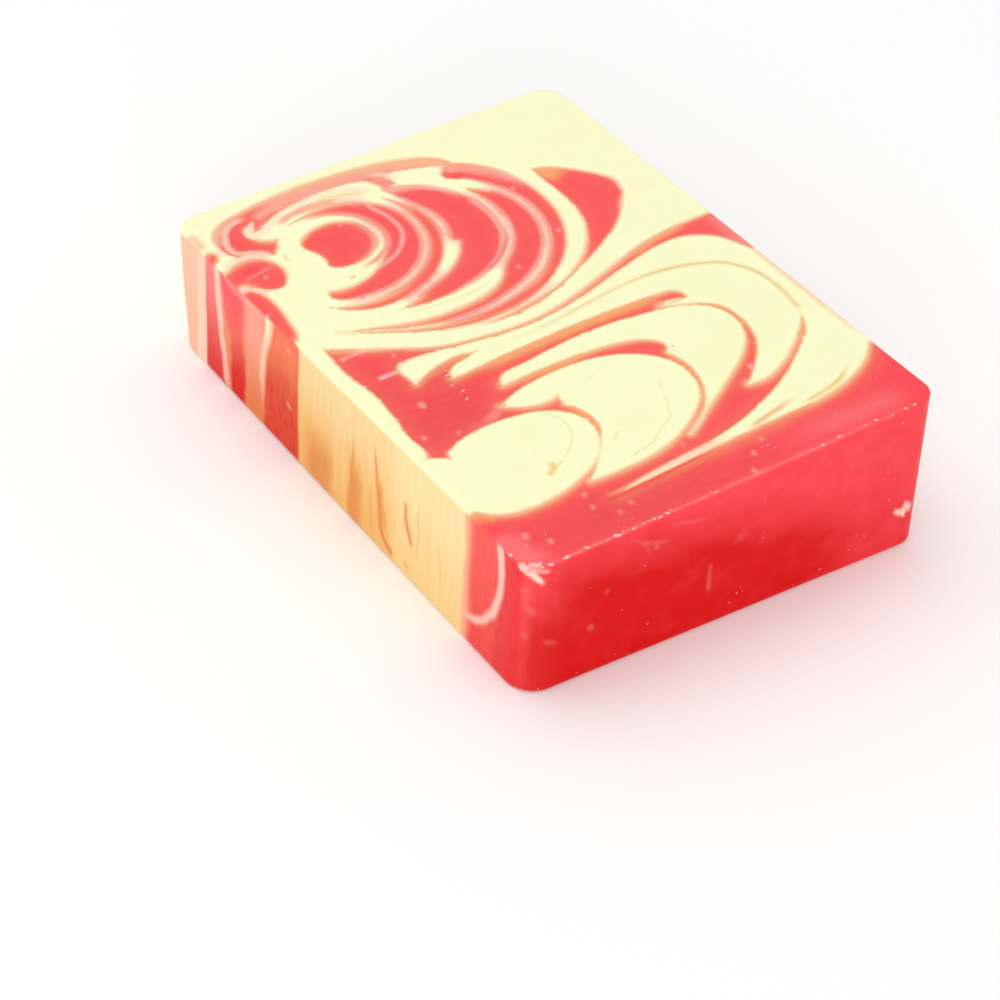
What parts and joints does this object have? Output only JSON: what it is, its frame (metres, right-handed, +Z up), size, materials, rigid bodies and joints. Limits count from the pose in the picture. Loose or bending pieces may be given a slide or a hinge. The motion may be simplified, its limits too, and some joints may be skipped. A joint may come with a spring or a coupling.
{
  "type": "bar of soap",
  "caption": "Hand-cut rounded bar of cast soap in clear red and opaque cream, with nested crescents and arches swirled right through it and a slightly sloping cut top.",
  "frame": {"origin": "under the middle of the bar, on the flat face that it rests on", "axes": "+X along the length, +Y across the width from the striped front side to the back, +Z up through the thickness to the cut top"},
  "size_m": [0.09, 0.0632, 0.0244],
  "materials": {
    "cream_soap": "opaque cream soap, satin and slightly waxy",
    "red_soap": "clear red soap, soft gloss with tiny bubbles"
  },
  "bodies": {
    "root": {"cream_soap": "cream_soap", "red_soap": "red_soap"}
  },
  "joints": []
}
